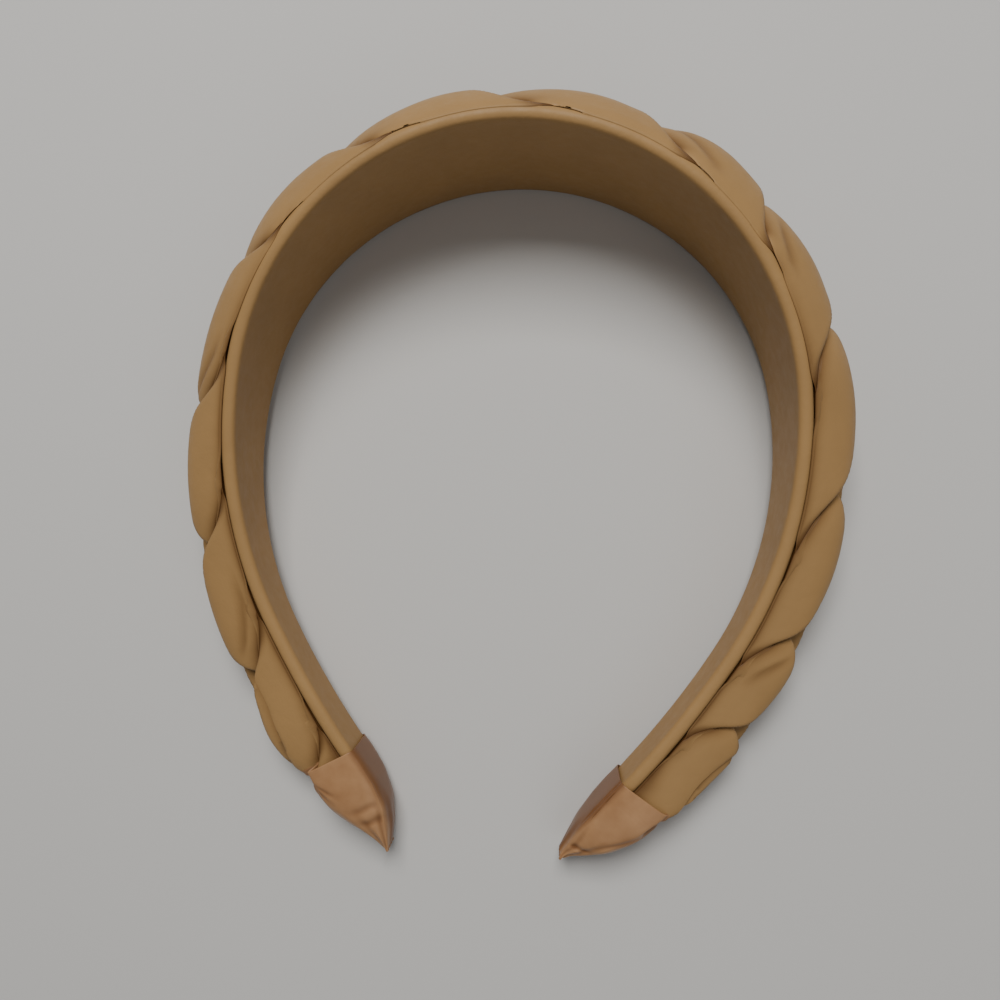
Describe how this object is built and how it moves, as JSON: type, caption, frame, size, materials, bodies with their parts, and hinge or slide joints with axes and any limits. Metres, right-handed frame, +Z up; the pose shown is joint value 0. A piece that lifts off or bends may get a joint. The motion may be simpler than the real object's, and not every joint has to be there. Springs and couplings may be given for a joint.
{
  "type": "plaited headband",
  "caption": "Padded plaited headband: a springy U-shaped band with a smooth lining, covered outside by a three-strand plait, with ribbon-wrapped tips.",
  "frame": {"origin": "middle of the bounding box, on the surface that the headband lies on", "axes": "+Z up from that surface, +Y towards the crown of the band, the two tips point to -Y"},
  "size_m": [0.146, 0.1686, 0.0425],
  "materials": {
    "leathercloth": "smooth, softly shining, fine pebble grain",
    "satin_ribbon": "satin weave, creased where it is pinched",
    "moulded_plastic": "moulded, matt",
    "wadding": "loose polyester fibre",
    "hot_melt_glue": "set glue, waxy"
  },
  "bodies": {
    "root": {"core_band": "moulded_plastic", "lining_cover": "leathercloth", "strand_a_cover": "leathercloth", "strand_b_cover": "leathercloth", "strand_c_cover": "leathercloth", "strand_a_wadding": "wadding", "strand_b_wadding": "wadding", "strand_c_wadding": "wadding", "left_tip_wrap": "satin_ribbon", "right_tip_wrap": "satin_ribbon", "left_end_glue": "hot_melt_glue", "right_end_glue": "hot_melt_glue"}
  },
  "joints": []
}
